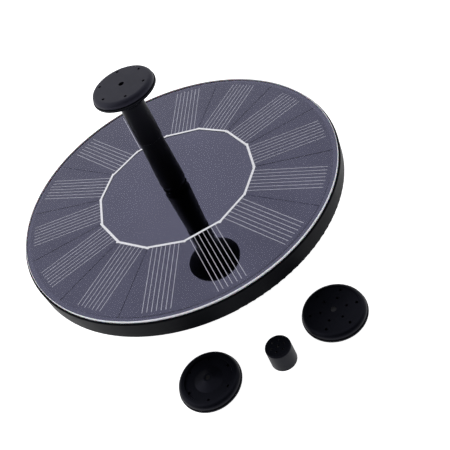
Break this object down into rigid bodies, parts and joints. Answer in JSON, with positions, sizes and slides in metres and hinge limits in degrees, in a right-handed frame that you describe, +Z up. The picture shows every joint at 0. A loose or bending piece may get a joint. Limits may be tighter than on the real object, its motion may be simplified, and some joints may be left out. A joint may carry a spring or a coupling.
{
  "type": "floating solar fountain pump",
  "caption": "Round solar panel on a shallow float with a submersible pump below, a push-together riser with a spray head, and spare spray pieces.",
  "frame": {"origin": "centre of the pump's base, on the surface that it stands on", "axes": "+Z up along the riser; the loose spray pieces lie on the -Y side; +X to the right as seen from there"},
  "size_m": [0.162, 0.1841, 0.1019],
  "materials": {
    "black_abs": "satin moulded ABS",
    "clear_laminate": "glossy clear PET sheet",
    "silicon": "dark blue-black monocrystalline silicon with an antireflection coat",
    "tinned_ribbon": "tinned copper ribbon",
    "black_board": "black solder-masked board",
    "edge_tape": "pale cut edge of the laminate",
    "silicone": "cured silicone",
    "foam": "white closed-cell foam",
    "sponge": "black open-cell sponge",
    "green_board": "green solder mask",
    "component": "black epoxy components",
    "lead_red": "red PVC insulation",
    "lead_black": "black PVC insulation",
    "rubber": "black moulded rubber",
    "stainless": "stainless steel",
    "lamination": "stacked silicon steel",
    "copper_wire": "enamelled copper winding",
    "potting_resin": "black epoxy resin",
    "ceramic": "ground zirconia",
    "ferrite": "sintered ferrite",
    "impeller_white": "white acetal",
    "graphite": "graphite-filled bush"
  },
  "bodies": {
    "float_pump": {"cell_ribbons": "tinned_ribbon", "driver_board": "green_board", "driver_components": "component", "edge_tape": "edge_tape", "float_tray": "black_abs", "foam_ring": "foam", "housing_gasket": "rubber", "housing_screws": "stainless", "lead_grommet": "rubber", "motor_leads": "lead_black", "outlet_duct": "black_abs", "panel_board": "black_board", "panel_cover": "clear_laminate", "panel_grommet": "clear_laminate", "panel_lead_black": "lead_black", "panel_lead_red": "lead_red", "panel_seal": "silicone", "potting": "potting_resin", "pump_housing": "black_abs", "rotor_shaft": "ceramic", "shaft_seat_bottom": "rubber", "shaft_seat_top": "rubber", "solar_cell_01": "silicon", "solar_cell_02": "silicon", "solar_cell_03": "silicon", "solar_cell_04": "silicon", "solar_cell_05": "silicon", "solar_cell_06": "silicon", "solar_cell_07": "silicon", "solar_cell_08": "silicon", "solar_cell_09": "silicon", "solar_cell_10": "silicon", "solar_cell_11": "silicon", "solar_cell_12": "silicon", "solar_cell_13": "silicon", "solar_cell_14": "silicon", "stator_coil_1": "copper_wire", "stator_coil_2": "copper_wire", "stator_coil_3": "copper_wire", "stator_coil_4": "copper_wire", "stator_core": "lamination", "volute_cover": "black_abs", "volute_screws": "stainless"},
    "rotor": {"impeller": "impeller_white", "rotor_magnet": "ferrite", "bush_lower": "graphite", "bush_upper": "graphite"},
    "filter": {"filter_cover": "black_abs", "filter_sponge": "sponge"},
    "riser_base": {"riser_base": "black_abs", "riser_o_ring": "rubber"},
    "riser_extension": {"riser_extension": "black_abs"},
    "spray_head": {"spray_head": "black_abs", "spray_face": "black_abs"},
    "ring_head": {"ring_head": "black_abs", "ring_face": "black_abs"},
    "jet_cap": {"jet_cap": "black_abs"},
    "rose_head": {"rose_head": "black_abs", "rose_face": "black_abs"}
  },
  "joints": [
    {"name": "rotor_spin", "type": "hinge", "parent": "float_pump", "child": "rotor", "pos_m": [0, 0, 0.0153], "axis": [0, 0, 1], "continuous": true},
    {"name": "filter_pull", "type": "slide", "parent": "float_pump", "child": "filter", "axis": [0, 0, -1], "range_m": [0, 0.02]},
    {"name": "riser_base_pull", "type": "slide", "parent": "float_pump", "child": "riser_base", "axis": [0, 0, 1], "range_m": [0, 0.02]},
    {"name": "riser_extension_pull", "type": "slide", "parent": "riser_base", "child": "riser_extension", "axis": [0, 0, 1], "range_m": [0, 0.015]},
    {"name": "spray_head_pull", "type": "slide", "parent": "riser_extension", "child": "spray_head", "axis": [0, 0, 1], "range_m": [0, 0.015]},
    {"name": "ring_head_away", "type": "slide", "parent": "float_pump", "child": "ring_head", "axis": [-0.2392, -0.971, 0], "range_m": [0, 0.06]},
    {"name": "jet_cap_away", "type": "slide", "parent": "float_pump", "child": "jet_cap", "axis": [0.114, -0.9935, 0], "range_m": [0, 0.06]},
    {"name": "rose_head_away", "type": "slide", "parent": "float_pump", "child": "rose_head", "axis": [0.4119, -0.9112, 0], "range_m": [0, 0.06]}
  ]
}
